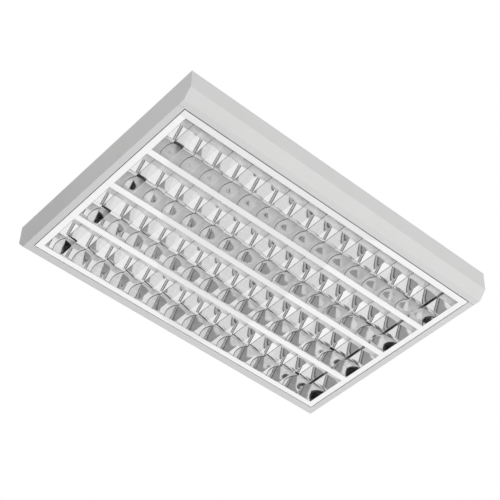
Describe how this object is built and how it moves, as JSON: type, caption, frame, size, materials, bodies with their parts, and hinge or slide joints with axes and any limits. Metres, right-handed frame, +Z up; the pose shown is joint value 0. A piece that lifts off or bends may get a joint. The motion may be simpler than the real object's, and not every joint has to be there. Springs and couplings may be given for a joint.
{
  "type": "surface mount led light",
  "caption": "White surface mounted ceiling light with a mirror louvre of divider reflectors and cross blades that swings down from its LED tubes.",
  "frame": {"origin": "middle of the back face that lies on the ceiling", "axes": "+X along the light, +Y across it towards the hinged side of the louvre, +Z up to the ceiling"},
  "size_m": [0.905, 0.627, 0.078],
  "materials": {
    "white_paint": "white powder coat, fine grained satin",
    "mirror_aluminium": "bright anodised mirror aluminium",
    "zinc_steel": "bright zinc plated steel",
    "white_plastic": "white heat resistant plastic",
    "driver_case": "off white moulded case",
    "grey_plastic": "light grey polyamide",
    "orange_plastic": "orange polyamide",
    "black_rubber": "soft black rubber",
    "wire_pvc": "white flat twin wire",
    "spring_steel": "bright spring steel strip",
    "diffuser": "opal diffuser tube, shown unlit",
    "led_board": "white coated board with light chips"
  },
  "bodies": {
    "housing": {"housing_tray": "white_paint", "end_plate_left": "white_paint", "end_plate_right": "white_paint", "lampholder_bracket_left": "white_paint", "lampholder_bracket_right": "white_paint", "bracket_screws": "zinc_steel", "lampholders_left": "white_plastic", "lampholders_right": "white_plastic", "led_driver_1": "driver_case", "led_driver_2": "driver_case", "driver_screws": "zinc_steel", "terminal_block": "grey_plastic", "cable_grommet": "black_rubber", "earth_screw": "zinc_steel", "wiring_loom": "wire_pvc", "cable_clips": "white_plastic", "upper_reflector_1": "mirror_aluminium", "upper_reflector_2": "mirror_aluminium", "upper_reflector_3": "mirror_aluminium", "upper_reflector_near": "mirror_aluminium", "upper_reflector_far": "mirror_aluminium", "cover_posts": "white_plastic"},
    "louvre": {"louvre_end_frame_left": "mirror_aluminium", "louvre_end_frame_right": "mirror_aluminium", "side_reflector_near": "mirror_aluminium", "side_reflector_far": "mirror_aluminium", "divider_reflector_1": "mirror_aluminium", "divider_reflector_2": "mirror_aluminium", "divider_reflector_3": "mirror_aluminium", "cross_blades_1": "mirror_aluminium", "cross_blades_2": "mirror_aluminium", "cross_blades_3": "mirror_aluminium", "cross_blades_4": "mirror_aluminium", "louvre_hinge_pins": "zinc_steel", "catch_plates": "spring_steel"},
    "catch_left": {"louvre_catch_left": "spring_steel"},
    "catch_right": {"louvre_catch_right": "spring_steel"},
    "lamp_1": {"led_tube_1": "diffuser", "led_board_1": "led_board", "tube_caps_1": "white_plastic", "lampholder_rotors_1": "white_plastic"},
    "lamp_2": {"led_tube_2": "diffuser", "led_board_2": "led_board", "tube_caps_2": "white_plastic", "lampholder_rotors_2": "white_plastic"},
    "lamp_3": {"led_tube_3": "diffuser", "led_board_3": "led_board", "tube_caps_3": "white_plastic", "lampholder_rotors_3": "white_plastic"},
    "lamp_4": {"led_tube_4": "diffuser", "led_board_4": "led_board", "tube_caps_4": "white_plastic", "lampholder_rotors_4": "white_plastic"},
    "button_live": {"release_button_live": "orange_plastic"},
    "button_neutral": {"release_button_neutral": "orange_plastic"},
    "button_earth": {"release_button_earth": "orange_plastic"}
  },
  "joints": [
    {"name": "louvre_swing", "type": "hinge", "parent": "housing", "child": "louvre", "pos_m": [0, 0.2696, -0.0744], "axis": [1, 0, 0], "range_deg": [0, 90]},
    {"name": "catch_left_flex", "type": "hinge", "parent": "louvre", "child": "catch_left", "pos_m": [-0.3, -0.264, -0.0768], "axis": [-1, 0, 0], "range_deg": [0, 16], "stiffness_Nm_per_rad": 0.6},
    {"name": "catch_right_flex", "type": "hinge", "parent": "louvre", "child": "catch_right", "pos_m": [0.3, -0.264, -0.0768], "axis": [-1, 0, 0], "range_deg": [0, 16], "stiffness_Nm_per_rad": 0.6},
    {"name": "lamp_1_turn", "type": "hinge", "parent": "housing", "child": "lamp_1", "pos_m": [0, -0.19808, -0.012], "axis": [1, 0, 0], "range_deg": [0, 90]},
    {"name": "lamp_2_turn", "type": "hinge", "parent": "housing", "child": "lamp_2", "pos_m": [0, -0.06603, -0.012], "axis": [1, 0, 0], "range_deg": [0, 90]},
    {"name": "lamp_3_turn", "type": "hinge", "parent": "housing", "child": "lamp_3", "pos_m": [0, 0.06603, -0.012], "axis": [1, 0, 0], "range_deg": [0, 90]},
    {"name": "lamp_4_turn", "type": "hinge", "parent": "housing", "child": "lamp_4", "pos_m": [0, 0.19808, -0.012], "axis": [1, 0, 0], "range_deg": [0, 90]},
    {"name": "button_live_press", "type": "slide", "parent": "housing", "child": "button_live", "axis": [0, 0, 1], "range_m": [0, 0.0015], "stiffness_N_per_m": 1500},
    {"name": "button_neutral_press", "type": "slide", "parent": "housing", "child": "button_neutral", "axis": [0, 0, 1], "range_m": [0, 0.0015], "stiffness_N_per_m": 1500},
    {"name": "button_earth_press", "type": "slide", "parent": "housing", "child": "button_earth", "axis": [0, 0, 1], "range_m": [0, 0.0015], "stiffness_N_per_m": 1500}
  ]
}
